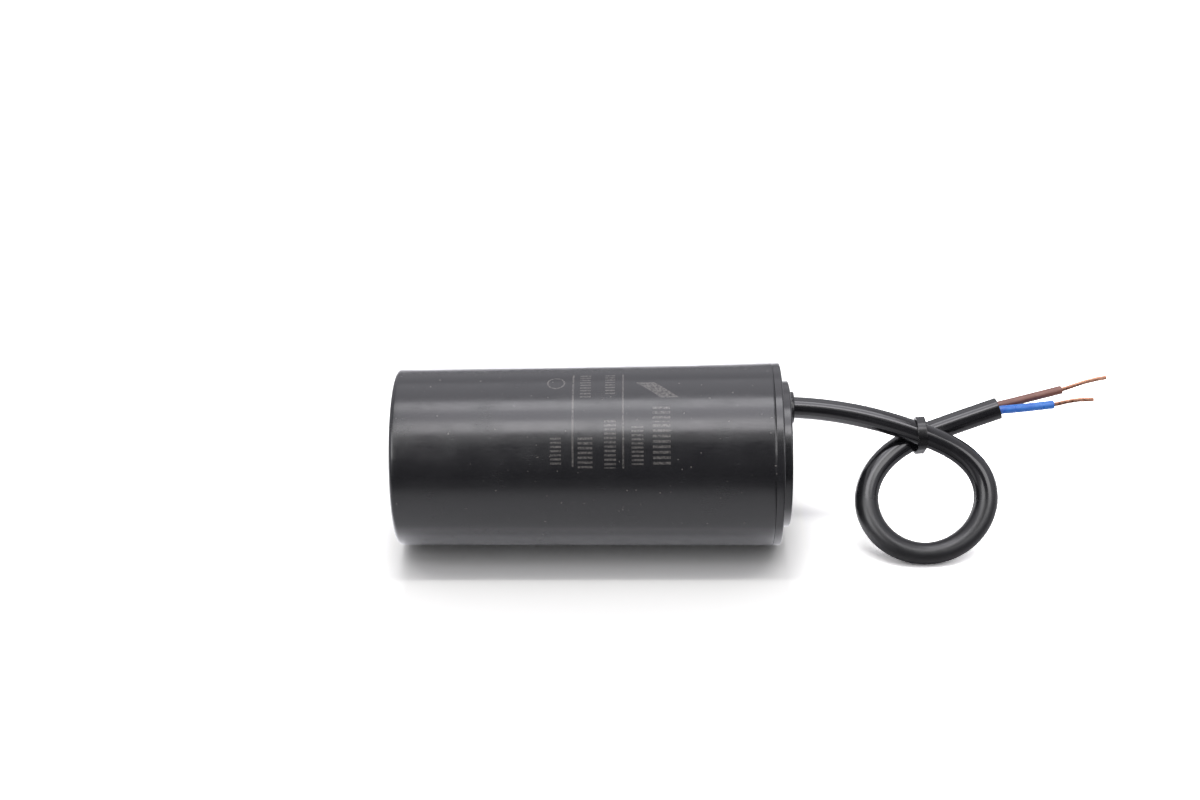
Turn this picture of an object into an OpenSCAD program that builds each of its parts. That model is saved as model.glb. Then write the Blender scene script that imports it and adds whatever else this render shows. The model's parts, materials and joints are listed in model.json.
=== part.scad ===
// Motor run capacitor: a round moulded case closed by a moulded cover, with a
// potted film winding inside and a two-core lead tied in one loop.
// It lies on its side. X runs along the case towards the lead, Y to the back
// and Z up, with the floor at z = 0 and x = 0 midway between the two ends.

/* [Case] */
// Outer diameter at the open end
case_d = 45; // [40:0.5:55]
// Outer diameter at the closed end, smaller by the mould's draft
case_base_d = 43.6; // [40:0.2:46]
// Length from the closed end to the cover's flange
case_len = 92; // [86:1:130]
// Thickness of the side wall
case_wall = 1.6; // [1:0.1:2.5]
// Thickness of the closed end
base_t = 2; // [1.2:0.1:3]
// Radius on the outer edge of the closed end
base_edge_r = 1.2; // [0.4:0.1:2]

/* [Cover] */
// Thickness of the flange that caps the case's mouth
flange_t = 2; // [1.4:0.1:3]
// Diameter of the raised disc
disc_d = 36; // [32:0.5:38]
// Height of the raised disc above the flange
disc_h = 2.2; // [1:0.1:4]
// Thickness of the cover's top and of the disc's side wall
cover_wall = 1.6; // [1:0.1:2]
// How far the spigot reaches into the case
spigot_len = 4; // [2.5:0.1:5]
// Thickness of the spigot's ring
spigot_wall = 1.5; // [1:0.1:2]
// Edge radius of the flange and of the disc
cover_edge_r = 0.4; // [0.2:0.05:0.6]
// Chamfer on the two edges that meet at the seam
seam_chamfer = 0.25; // [0.1:0.05:0.4]
// Outer diameter of the collar round the lead
collar_d = 8; // [7:0.1:9]
// Height of the collar above the disc
collar_h = 1.8; // [1:0.1:4]
// How far the lead sits behind the case's axis
lead_back = 9; // [7:0.5:9.5]
// How far the lead sits above the case's axis
lead_up = 8; // [6:0.5:9]

/* [Winding] */
// Resin between the case and the winding at the winding's narrower end
resin_round = 0.9; // [0.5:0.1:3]
// Width of the film roll
winding_len = 68; // [50:1:70]
// Thickness of the plain film wrapped round the roll
wrap_t = 0.3; // [0.1:0.1:0.6]
// Outer diameter of the plastic core tube
core_tube_d = 8; // [7:0.5:12]
// Wall of the core tube
core_tube_wall = 1; // [0.6:0.1:1.5]
// Thickness of the sprayed zinc on each end of the roll
spray_t = 0.6; // [0.3:0.1:1]
// Resin between the closed end and the winding
base_standoff = 4; // [3:0.5:6]
// Radius of a solder joint on the zinc
solder_r = 2.2; // [1.8:0.1:3]
// Height of a solder joint
solder_h = 1.4; // [1.2:0.1:2]
// Distance of the far solder joint from the axis
far_joint_r = 9; // [8:0.5:14]
// Depth from the case's mouth down to the resin
resin_depth = 6; // [5:0.5:7]

/* [Lead] */
// Outer diameter of the sheath
sheath_d = 5.3; // [5:0.1:5.4]
// Outer diameter of one insulated core
core_d = 2.1; // [1.9:0.05:2.15]
// Distance between the centres of the two cores
core_pitch = 2.15; // [2.15:0.01:2.2]
// Diameter of one bundle of copper strands
copper_d = 1; // [0.7:0.05:1.2]
// Length of sheath that is cast into the resin and the cover
sheath_inside = 14; // [13:0.5:15]
// Bare copper between the insulation and a solder joint
inner_strip = 2; // [1:0.5:3]
// Width of the cable tie's strap
tie_w = 2.4; // [1.8:0.1:2.6]
// Thickness of the cable tie's strap
tie_t = 1; // [0.8:0.1:1.4]
// Length of the cable tie's head along the strap
tie_head_len = 4.6; // [4:0.1:5.5]
// Width of the cable tie's head
tie_head_w = 4.2; // [3.6:0.1:5]
// Height of the cable tie's head
tie_head_h = 3; // [2.4:0.1:4]

/* [Fits] */
// Clearance between pieces that are cast or pressed together
fit_gap = 0.05; // [0.03:0.01:0.1]
// Clearance round the sheath in the cover's hole
hole_gap = 0.1; // [0.05:0.01:0.2]
// Clearance between the cable tie and the two strands
tie_gap = 0.2; // [0.1:0.05:0.4]

/* [Hidden] */
$fn = 96;

// Overlap of a cut past the face that it starts from
cut = 1;
sheath_sides = 12;
wire_sides = 8;

case_r = case_d / 2;
case_base_r = case_base_d / 2;
disc_r = disc_d / 2;
total_len = case_len + flange_t + disc_h + collar_h;

// Stations along the case, measured from the closed end
far_face = base_t + base_standoff;
roll_start = far_face + spray_t;
roll_end = roll_start + winding_len;
near_face = roll_end + spray_t;
resin_top = case_len - resin_depth;
disc_top = case_len + flange_t + disc_h;

function outer_r(s) = case_base_r + (case_r - case_base_r) * s / case_len;
function inner_r(s) = outer_r(s) - case_wall;

core_bore_r = core_tube_d / 2 - core_tube_wall;
wrap_r = min(inner_r(far_face), inner_r(near_face)) - fit_gap - resin_round;
winding_r = wrap_r - wrap_t;

// The spigot follows the draft of the wall that it is pressed into
spigot_tip_r = inner_r(case_len - spigot_len) - fit_gap;
spigot_root_r = inner_r(case_len) - fit_gap;

// ---- The lead's route ----------------------------------------------------
// The point where the sheath leaves the collar
exit_pt = [total_len / 2, lead_back, case_r + lead_up];

// The loop leans back by this angle from the floor, resting on its front edge
LOOP_LEAN = 48;
LOOP_NORMAL = [0, -sin(LOOP_LEAN), cos(LOOP_LEAN)];

// Centre line of the sheath outside the case, measured from exit_pt
ROUTE = [
    [0, 0, 0],
    [16, -2.4, -1.1],
    [33, -6.9, -4.8],
    [41.6, -9.7, -8.7],
    [45.5, -12.5, -12.8],
    [46.5, -15.7, -17.4],
    [43, -20.5, -23.8],
    [32.5, -23.9, -27.8],
    [22.9, -22.1, -25.9],
    [18, -17.1, -21.1],
    [18, -11.7, -16.3],
    [24, -5.1, -10.5],
    [37.9, -0.4, -5.5],
    [51, 1.4, -1.4]
];
SHEATH_PATH = concat([exit_pt - [sheath_inside, 0, 0]], [for (p = ROUTE) exit_pt + p]);

// The free ends of the two cores, measured from exit_pt: where the insulation
// stops, one bend, and the tip
BROWN_END = [[67.5, 5.5, 1.5], [73.5, 6.8, 2.9], [79, 7.6, 3.8]];
BLUE_END = [[65.5, 1.6, -0.6], [70, 2.3, 0.1], [75.2, 2.5, 0.3]];

// Turn of the pair of cores about the sheath's centre line, and of the sheath's
// flats, which then lie square to the pair
CORE_TURN = 45;
SHEATH_TURN = CORE_TURN + 180 / sheath_sides;

function unit(v) = v / norm(v);
function step(p, i) = unit(p[i + 1] - p[i]);
function heading(p, i) =
    i == 0 ? step(p, 0) :
    i == len(p) - 1 ? step(p, i - 1) :
    unit(step(p, i - 1) + step(p, i));

// Two directions square to the route: out of the loop's plane, and across it
function normal_at(p, i) =
    let (t = heading(p, i)) unit(LOOP_NORMAL - (LOOP_NORMAL * t) * t);
function side_at(p, i) = cross(heading(p, i), normal_at(p, i));

function round_section(r, sides) =
    [for (k = [0 : sides - 1]) r * [cos(360 * k / sides), sin(360 * k / sides)]];

// A slot with round ends that holds both cores side by side
function slot_section(r, half_pitch, sides) =
    let (per_end = sides / 2)
    [for (k = [0 : sides - 1])
        let (end = k < per_end ? 1 : -1,
             a = (k % per_end) * 180 / (per_end - 1) - 90)
        end * [half_pitch + r * cos(a), r * sin(a)]];

function turned(section, turn) =
    [for (q = section) [q[0] * cos(turn) - q[1] * sin(turn), q[0] * sin(turn) + q[1] * cos(turn)]];

function rings(p, section) =
    [for (i = [0 : len(p) - 1], q = section)
        p[i] + q[0] * side_at(p, i) + q[1] * normal_at(p, i)];

function wall_faces(first, n, count, flip) =
    [for (i = [0 : count - 2], k = [0 : n - 1])
        let (a = first + i * n + k, b = first + i * n + (k + 1) % n, c = b + n, d = a + n)
        each flip ? [[a, c, b], [a, d, c]] : [[a, b, c], [a, c, d]]];

// A rod that follows the path p with one section
module swept_rod(p, section) {
    n = len(section);
    last = (len(p) - 1) * n;
    polyhedron(
        points = rings(p, section),
        faces = concat(
            [[for (k = [n - 1 : -1 : 0]) k]],
            wall_faces(0, n, len(p), false),
            [[for (k = [0 : n - 1]) last + k]]
        )
    );
}

// A tube that follows the path p, open at both ends
module swept_tube(p, outside, inside) {
    n = len(outside);
    count = len(p);
    inner = count * n;
    last = (count - 1) * n;
    polyhedron(
        points = concat(rings(p, outside), rings(p, inside)),
        faces = concat(
            wall_faces(0, n, count, false),
            wall_faces(inner, n, count, true),
            [for (k = [0 : n - 1])
                let (m = (k + 1) % n)
                each [[k, inner + k, inner + m], [k, inner + m, m]]],
            [for (k = [0 : n - 1])
                let (m = (k + 1) % n)
                each [[last + k, last + m, inner + last + m],
                      [last + k, inner + last + m, inner + last + k]]]
        )
    );
}

// Each core keeps its place beside the other along the whole sheath
function core_path(end) =
    [for (i = [0 : len(SHEATH_PATH) - 1])
        SHEATH_PATH[i] + end * core_pitch / 2
            * (cos(CORE_TURN) * side_at(SHEATH_PATH, i) + sin(CORE_TURN) * normal_at(SHEATH_PATH, i))];
brown_run = core_path(-1);
blue_run = core_path(1);

// ---- Frame ---------------------------------------------------------------
// Lays what is built upright on the case's axis down along X
module lay_down() {
    translate([-total_len / 2, 0, case_r]) rotate([0, 90, 0]) children();
}

// A point given by its station s along the case and its place about the axis
function on_case(s, y, z) = [s - total_len / 2, y, case_r + z];

// A round rod between two points
module rod_between(a, b, d) {
    v = b - a;
    translate(a)
        rotate([0, acos(v[2] / norm(v)), atan2(v[1], v[0])])
            cylinder(h = norm(v), d = d);
}

// The space round a wire that follows a few points, a little wider at its bends
module channel(points, d) {
    for (i = [0 : len(points) - 2])
        rod_between(points[i], points[i + 1], d);
    for (i = [1 : len(points) - 2])
        translate(points[i]) sphere(d = d + fit_gap);
}

// ---- Wires inside the case -------------------------------------------------
brown_in = brown_run[0];
blue_in = blue_run[0];

near_x = on_case(near_face, 0, 0)[0];
far_x = on_case(far_face, 0, 0)[0];

// Brown runs straight down to the near zinc layer
brown_foot = [near_x + copper_d / 2, brown_in[1], brown_in[2]];
brown_strip = [near_x + solder_h + inner_strip, brown_in[1], brown_in[2]];

// Blue crosses to the axis, runs down the core tube and turns out over the
// far zinc layer
blue_turn = [blue_in[0] - core_d / 2, blue_in[1], blue_in[2]];
blue_axis = [near_x + core_d, 0, case_r];
blue_strip = [far_x + inner_strip, 0, case_r];
far_wire_x = far_x - copper_d / 2 - fit_gap;
blue_corner = [far_wire_x, 0, case_r];
blue_foot = [far_wire_x, 0, case_r - far_joint_r];

BROWN_TIP = [for (p = BROWN_END) exit_pt + p];
BLUE_TIP = [for (p = BLUE_END) exit_pt + p];

brown_insulation_path = concat([brown_strip], brown_run, [BROWN_TIP[0]]);
blue_insulation_path = concat([blue_strip, blue_axis, blue_turn], blue_run, [BLUE_TIP[0]]);
brown_copper_path = concat([brown_foot, brown_strip], brown_run, BROWN_TIP);
blue_copper_path = concat([blue_foot, blue_corner, blue_strip, blue_axis, blue_turn],
                          blue_run, BLUE_TIP);

module wire_insulation(p) {
    swept_tube(p, round_section(core_d / 2, wire_sides),
               round_section(copper_d / 2 + fit_gap, wire_sides));
}

module wire_copper(p) {
    swept_rod(p, round_section(copper_d / 2, wire_sides));
}

// ---- Moulded shell ---------------------------------------------------------
// Outside of the case from the closed end to station s, as a half section
module case_outline(s) {
    polygon([[0, 0], [case_base_r - base_edge_r, 0], [outer_r(base_edge_r), base_edge_r],
             [outer_r(s - seam_chamfer), s - seam_chamfer], [outer_r(s) - seam_chamfer, s], [0, s]]);
    intersection() {
        translate([case_base_r - base_edge_r, base_edge_r]) circle(r = base_edge_r);
        square([case_base_r, case_len]);
    }
}

module case() {
    color([0.09, 0.09, 0.10]) lay_down() rotate_extrude() difference() {
        case_outline(case_len);
        polygon([[-cut, base_t], [inner_r(base_t), base_t],
                 [inner_r(case_len + cut), case_len + cut], [-cut, case_len + cut]]);
    }
}

// Half section of a disc of radius r between two stations, with its far edge rounded
module round_edged(r, from, to, edge) {
    square_h = to - from;
    translate([0, from]) square([r, square_h - edge]);
    translate([0, from]) square([r - edge, square_h]);
    translate([r - edge, to - edge]) circle(r = edge);
}

module cover_section() {
    difference() {
        union() {
            difference() {
                round_edged(case_r, case_len, case_len + flange_t, cover_edge_r);
                polygon([[case_r - seam_chamfer, case_len - cut], [case_r + cut, case_len - cut],
                         [case_r + cut, case_len + seam_chamfer], [case_r, case_len + seam_chamfer],
                         [case_r - seam_chamfer, case_len]]);
            }
            round_edged(disc_r, case_len, disc_top, cover_edge_r);
            polygon([[0, case_len - spigot_len], [spigot_tip_r, case_len - spigot_len],
                     [spigot_root_r, case_len], [0, case_len]]);
        }
        translate([-cut, case_len - spigot_len - cut])
            square([spigot_tip_r - spigot_wall + cut, spigot_len + cut]);
        translate([-cut, case_len - cut])
            square([disc_r - cover_wall + cut, cut + flange_t + disc_h - cover_wall]);
    }
}

module end_cover() {
    color([0.10, 0.10, 0.11]) difference() {
        union() {
            lay_down() rotate_extrude() intersection() {
                cover_section();
                square([case_r, total_len]);
            }
            rod_between(exit_pt - [collar_h + cover_wall / 2, 0, 0], exit_pt, collar_d);
        }
        rod_between(exit_pt - [flange_t + disc_h + collar_h + cut, 0, 0], exit_pt + [cut, 0, 0],
                    sheath_d + 2 * hole_gap);
    }
}

// ---- Winding ---------------------------------------------------------------
// A ring on the case's axis between two stations
module ring_between(from, to, r_out, r_in) {
    lay_down() translate([0, 0, from]) difference() {
        cylinder(h = to - from, r = r_out);
        translate([0, 0, -cut]) cylinder(h = to - from + 2 * cut, r = r_in);
    }
}

module film_winding() {
    color([0.83, 0.84, 0.85])
        ring_between(roll_start, roll_end, winding_r, core_tube_d / 2 + fit_gap);
}

module winding_wrap() {
    color([0.93, 0.90, 0.78])
        ring_between(roll_start, roll_end, wrap_r, winding_r + fit_gap);
}

module core_tube() {
    color([0.95, 0.95, 0.93])
        ring_between(far_face, near_face, core_tube_d / 2, core_bore_r);
}

module far_zinc_layer() {
    color([0.62, 0.63, 0.65])
        ring_between(far_face, roll_start, winding_r, core_tube_d / 2 + fit_gap);
}

module near_zinc_layer() {
    color([0.62, 0.63, 0.65])
        ring_between(roll_end, near_face, winding_r, core_tube_d / 2 + fit_gap);
}

near_drop = [near_x, brown_in[1], brown_in[2]];
far_drop = [far_x, 0, case_r - far_joint_r];
copper_hole = copper_d + 2 * fit_gap;

// Half section of a drop of solder, larger all round by grow
module drop_section(grow) {
    drop_r = (solder_r * solder_r + solder_h * solder_h) / (2 * solder_h);
    intersection() {
        translate([0, solder_h - drop_r]) circle(r = drop_r + grow);
        square([2 * solder_r, 2 * solder_h]);
    }
}

// The brown wire stands in a hole along its drop's own axis
module near_solder_joint() {
    color([0.72, 0.73, 0.74]) translate(near_drop) rotate([0, 90, 0])
        rotate_extrude() difference() {
            drop_section(0);
            translate([-cut, copper_d / 2 - fit_gap]) square([cut + copper_hole / 2, solder_h]);
        }
}

module far_drop_space(grow) {
    translate(far_drop) rotate([0, -90, 0]) rotate_extrude() drop_section(grow);
}

// The blue wire lies across its drop
module far_solder_joint() {
    color([0.72, 0.73, 0.74]) difference() {
        far_drop_space(0);
        rod_between(blue_foot - [0, 0, fit_gap], blue_corner, copper_hole);
    }
}

// ---- Resin -----------------------------------------------------------------
module potting_resin() {
    fill_from = base_t + fit_gap;
    core_hole = core_d + 2 * fit_gap;
    color([0.16, 0.15, 0.13]) difference() {
        lay_down() rotate_extrude() difference() {
            polygon([[0, fill_from], [inner_r(fill_from) - fit_gap, fill_from],
                     [inner_r(resin_top) - fit_gap, resin_top], [0, resin_top]]);
            translate([core_bore_r - fit_gap, far_face - fit_gap])
                square([wrap_r - core_bore_r + 2 * fit_gap, near_face - far_face + 2 * fit_gap]);
        }
        translate(near_drop) rotate([0, 90, 0]) rotate_extrude() drop_section(fit_gap);
        far_drop_space(fit_gap);
        rod_between(near_drop, brown_strip, copper_hole);
        rod_between(brown_strip - [fit_gap, 0, 0], brown_in, core_hole);
        channel([blue_foot, blue_corner, blue_strip], copper_hole);
        channel([blue_strip - [fit_gap, 0, 0], blue_axis, blue_turn, blue_in], core_hole);
        rod_between(SHEATH_PATH[0] - [fit_gap, 0, 0], SHEATH_PATH[1], sheath_d + 2 * fit_gap);
    }
}

// ---- Lead ------------------------------------------------------------------
module cable_sheath() {
    color([0.07, 0.07, 0.08])
        swept_tube(SHEATH_PATH,
                   turned(round_section(sheath_d / 2, sheath_sides), SHEATH_TURN),
                   turned(slot_section(core_d / 2 + 2 * fit_gap, core_pitch / 2, sheath_sides), CORE_TURN));
}

module brown_insulation() {
    color([0.42, 0.24, 0.18]) wire_insulation(brown_insulation_path);
}

module blue_insulation() {
    color([0.10, 0.36, 0.85]) wire_insulation(blue_insulation_path);
}

module brown_conductor() {
    color([0.80, 0.48, 0.34]) wire_copper(brown_copper_path);
}

module blue_conductor() {
    color([0.80, 0.48, 0.34]) wire_copper(blue_copper_path);
}

// The tie holds the two strands where the route crosses itself, one behind the
// other. They cross at an angle, which takes this much more room in the strap
TIE_AT = [31, -4.6, -6.2];
CROSSING_SPREAD = 0.75;
tie_half_depth = sheath_d + tie_gap;
tie_half_height = sheath_d / 2 + CROSSING_SPREAD + tie_gap;

// Rounded rectangle, grown outwards by grow
module strap_outline(grow) {
    corner = sheath_d / 2;
    square([2 * (tie_half_depth + grow), 2 * (tie_half_height - corner)], center = true);
    square([2 * (tie_half_depth - corner), 2 * (tie_half_height + grow)], center = true);
    for (x = [-1, 1], y = [-1, 1])
        translate([x * (tie_half_depth - corner), y * (tie_half_height - corner)])
            circle(r = corner + grow);
}

// The strap stands square to X, and its head is on the side away from the loop's front
module cable_tie() {
    color([0.06, 0.06, 0.07])
        translate(exit_pt + TIE_AT) rotate([LOOP_LEAN, 0, 0]) rotate([0, 90, 0]) {
            linear_extrude(height = tie_w, center = true) difference() {
                strap_outline(tie_t);
                strap_outline(0);
            }
            translate([tie_half_depth + tie_head_h / 2, 0, 0])
                cube([tie_head_h, tie_head_len, tie_head_w], center = true);
        }
}

case();
end_cover();
potting_resin();
film_winding();
winding_wrap();
core_tube();
far_zinc_layer();
near_zinc_layer();
far_solder_joint();
near_solder_joint();
cable_sheath();
brown_insulation();
blue_insulation();
brown_conductor();
blue_conductor();
cable_tie();
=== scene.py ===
"""Looks of a motor run capacitor: a black moulded case, its cover and a two-core lead in a loop."""

import json
import logging
import math
from dataclasses import dataclass, field
from enum import Enum
from itertools import pairwise

import bmesh
import bpy
from mathutils import Matrix, Vector

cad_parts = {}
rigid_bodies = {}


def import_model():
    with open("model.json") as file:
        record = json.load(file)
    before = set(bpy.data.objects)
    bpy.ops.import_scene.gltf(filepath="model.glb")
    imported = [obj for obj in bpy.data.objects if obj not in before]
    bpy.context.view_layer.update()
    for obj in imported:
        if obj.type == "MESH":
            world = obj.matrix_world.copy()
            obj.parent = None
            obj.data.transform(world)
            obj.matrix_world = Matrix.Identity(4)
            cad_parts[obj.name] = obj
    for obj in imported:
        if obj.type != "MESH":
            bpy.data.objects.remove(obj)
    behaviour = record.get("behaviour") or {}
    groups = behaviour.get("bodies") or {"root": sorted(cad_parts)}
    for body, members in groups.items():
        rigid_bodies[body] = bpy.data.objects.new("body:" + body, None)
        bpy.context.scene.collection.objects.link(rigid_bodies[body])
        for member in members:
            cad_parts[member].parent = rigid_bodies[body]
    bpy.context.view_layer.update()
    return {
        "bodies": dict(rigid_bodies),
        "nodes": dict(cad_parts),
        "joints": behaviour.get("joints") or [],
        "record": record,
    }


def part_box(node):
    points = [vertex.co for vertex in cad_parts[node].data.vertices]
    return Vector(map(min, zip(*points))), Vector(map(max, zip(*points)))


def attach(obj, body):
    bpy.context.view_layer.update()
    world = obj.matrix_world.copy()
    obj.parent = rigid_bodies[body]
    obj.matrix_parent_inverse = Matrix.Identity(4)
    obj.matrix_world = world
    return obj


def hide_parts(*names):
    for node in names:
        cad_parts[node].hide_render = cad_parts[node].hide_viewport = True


log = logging.getLogger("capacitor")

Materials = dict[str, bpy.types.Material]

MM = 0.001
UM = 0.000001
# Corners closer than this are one, and edges that turn by more than this stay sharp.
SAME_SPOT = 0.2 * UM
SHARP_DEG = 40.0


# ---- Small tools -------------------------------------------------------------


def linear(hex_colour: str) -> tuple[float, float, float, float]:
    """Turns an sRGB hex colour into the linear values that the shaders take.

    Args:
        hex_colour: Six hex digits, such as "1a1a1c".

    Returns:
        Red, green, blue and an alpha of 1.
    """
    parts = [int(hex_colour[i : i + 2], 16) / 255 for i in (0, 2, 4)]
    values = [c / 12.92 if c <= 0.04045 else ((c + 0.055) / 1.055) ** 2.4 for c in parts]
    return (values[0], values[1], values[2], 1.0)


def add_node(
    tree: bpy.types.NodeTree,
    kind: str,
    inputs: dict[str, object] | dict[int, object] | None = None,
    **settings: object,
) -> bpy.types.Node:
    """Adds a node with its settings, its constants and its links.

    Args:
        tree: The material's or world's node tree.
        kind: The node's type, such as "ShaderNodeMath".
        inputs: Input name or number to a value, or to the socket that feeds it.
        settings: The node's own properties, such as operation="ADD".

    Returns:
        The new node.
    """
    node = tree.nodes.new(kind)
    for name, value in settings.items():
        setattr(node, name, value)
    for name, value in (inputs or {}).items():
        if isinstance(value, bpy.types.NodeSocket):
            tree.links.new(value, node.inputs[name])
        else:
            node.inputs[name].default_value = value
    return node


@dataclass(frozen=True)
class Ramp:
    """A level that runs from one value to another between two places, and is held past them."""

    start: float
    end: float
    first: float
    last: float

    def along(self, value: bpy.types.NodeSocket) -> dict[str, object]:
        """Gives a Map Range node's inputs, for the value that runs along the ramp.

        Args:
            value: The place on the ramp.

        Returns:
            Each input's name and what it takes.
        """
        return {
            "Value": value,
            "From Min": self.start,
            "From Max": self.end,
            "To Min": self.first,
            "To Max": self.last,
        }


def smooth(mesh: bpy.types.Mesh) -> None:
    """Shades a mesh smooth, with sharp edges where it turns by more than SHARP_DEG."""
    mesh.shade_smooth()
    mesh.set_sharp_from_angle(angle=math.radians(SHARP_DEG))


def to_object(name: str, bm: bmesh.types.BMesh) -> bpy.types.Object:
    """Turns a finished bmesh into a smooth shaded object at the origin.

    Args:
        name: The piece's name.
        bm: The mesh in metres, in the row frame. It is freed.

    Returns:
        The object, linked to the scene.
    """
    mesh = bpy.data.meshes.new(name)
    bm.to_mesh(mesh)
    bm.free()
    smooth(mesh)
    piece = bpy.data.objects.new(name, mesh)
    bpy.context.scene.collection.objects.link(piece)
    return piece


def keep_faces_true(piece: bpy.types.Object) -> None:
    """Shades each broad face by itself, so that a rounded edge doesn't bend its reflections.

    Args:
        piece: The piece, which gets a modifier for it.
    """
    weighted = piece.modifiers.new("weighted_normals", "WEIGHTED_NORMAL")
    weighted.keep_sharp = True
    weighted.weight = 100


def dress(piece: bpy.types.Object, material: bpy.types.Material) -> None:
    """Gives a piece one material.

    Args:
        piece: The piece.
        material: Its material.
    """
    piece.data.materials.clear()
    piece.data.materials.append(material)


def fit(piece: bpy.types.Object, materials: Materials, slot: str, node: str) -> bpy.types.Object:
    """Dresses a finished piece and puts it in the place of the node that it stands for.

    Args:
        piece: The finished piece.
        materials: Every material by its slot.
        slot: The piece's slot.
        node: The node that it replaces.

    Returns:
        The piece.
    """
    dress(piece, materials[slot])
    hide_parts(node)
    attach(piece, "root")
    log.info("%s replaces %s", piece.name, node)
    return piece


def smooth_route(points: list[Vector], spacing: float) -> list[Vector]:
    """Runs one smooth curve through the points of a route, a natural cubic spline.

    Args:
        points: The route's points, in metres.
        spacing: Distance between the points of the curve.

    Returns:
        Points along the curve, about that far apart.
    """
    spans = [(b - a).length for a, b in pairwise(points)]
    bends = solve_bends(points, spans)
    curve = []
    for i, span in enumerate(spans):
        steps = max(1, round(span / spacing))
        for k in range(steps):
            s = span * k / steps
            rest = span - s
            curve.append(
                bends[i] * (rest**3 / (6 * span))
                + bends[i + 1] * (s**3 / (6 * span))
                + (points[i] / span - bends[i] * (span / 6)) * rest
                + (points[i + 1] / span - bends[i + 1] * (span / 6)) * s
            )
    curve.append(points[-1].copy())
    return curve


def solve_bends(points: list[Vector], spans: list[float]) -> list[Vector]:
    """Works out a natural cubic spline's second derivative at each of its points.

    Args:
        points: The points that the spline runs through.
        spans: The distances between them.

    Returns:
        One vector per point, zero at both ends.
    """
    bends = [Vector((0, 0, 0)) for _ in points]
    shares = [0.0]
    pulls = [Vector((0, 0, 0))]
    for i in range(1, len(points) - 1):
        before, after = spans[i - 1], spans[i]
        pivot = 2 * (before + after) - before * shares[-1]
        slope = (points[i + 1] - points[i]) / after - (points[i] - points[i - 1]) / before
        shares.append(after / pivot)
        pulls.append((6 * slope - before * pulls[-1]) / pivot)
    for i in range(len(points) - 2, 0, -1):
        bends[i] = pulls[i] - shares[i] * bends[i + 1]
    return bends


def frames_along(points: list[Vector]) -> list[Matrix]:
    """Makes the matrices that carry a section in the XY plane along a route without twisting it.

    Args:
        points: The route's points.

    Returns:
        One matrix for each point, whose Z axis follows the route.
    """
    spans = [(b - a).normalized() for a, b in pairwise(points)]
    headings = [spans[0]] + [(a + b).normalized() for a, b in pairwise(spans)] + [spans[-1]]
    side = headings[0].orthogonal().normalized()
    frames = []
    for place, heading in zip(points, headings):
        side = (side - heading * side.dot(heading)).normalized()
        turn = Matrix((side, heading.cross(side), heading)).transposed()
        frames.append(Matrix.Translation(place) @ turn.to_4x4())
    return frames


def ring_edges(verts: list[bmesh.types.BMVert]) -> list[bmesh.types.BMEdge]:
    """Finds the edges that run between the given vertices."""
    ring = set(verts)
    return list({e for v in verts for e in v.link_edges if e.other_vert(v) in ring})


def grow_ring(
    bm: bmesh.types.BMesh, ring: list[bmesh.types.BMVert], move: Matrix
) -> list[bmesh.types.BMVert]:
    """Extrudes a ring of vertices and moves the new ring.

    Args:
        bm: The mesh that holds the ring.
        ring: The ring's vertices.
        move: What carries the old ring onto the new one.

    Returns:
        The new ring's vertices.
    """
    grown = bmesh.ops.extrude_edge_only(bm, edges=ring_edges(ring))["geom"]
    verts = [g for g in grown if isinstance(g, bmesh.types.BMVert)]
    bmesh.ops.transform(bm, matrix=move, verts=verts)
    return verts


@dataclass(frozen=True)
class Lip:
    """One step of an end's shape: how far past the end it lies, and its share of the section."""

    ahead: float
    scale: float


def sweep(
    bm: bmesh.types.BMesh,
    frames: list[Matrix],
    radius: float,
    sides: int,
    start: tuple[Lip, ...] = (),
    end: tuple[Lip, ...] = (),
) -> None:
    """Sweeps a round section along a route and closes both ends.

    Args:
        bm: The mesh that takes the rod.
        frames: The route's frames.
        radius: The section's radius.
        sides: The number of sides of the section.
        start: The steps of the first end's shape, from its rim inwards.
        end: The steps of the last end's shape, from its rim inwards.
    """
    rod = bmesh.new()
    for route, lips, way in ((frames, end, 1), (frames[:1], start, -1)):
        ring = bmesh.ops.create_circle(rod, segments=sides, radius=radius, matrix=route[0])["verts"]
        for before, after in pairwise(route):
            ring = grow_ring(rod, ring, after @ before.inverted())
        seat = route[-1]
        shape = Matrix.Identity(4)
        for lip in lips:
            size = Matrix.Diagonal((lip.scale, lip.scale, 1, 1))
            wanted = Matrix.Translation((0, 0, way * lip.ahead)) @ size
            ring = grow_ring(rod, ring, seat @ wanted @ shape.inverted() @ seat.inverted())
            shape = wanted
        bmesh.ops.contextual_create(rod, geom=ring_edges(ring))
    bmesh.ops.remove_doubles(rod, verts=rod.verts, dist=SAME_SPOT)
    bmesh.ops.recalc_face_normals(rod, faces=rod.faces)
    whole = bpy.data.meshes.new("rod")
    rod.to_mesh(whole)
    rod.free()
    bm.from_mesh(whole)
    bpy.data.meshes.remove(whole)


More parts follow.
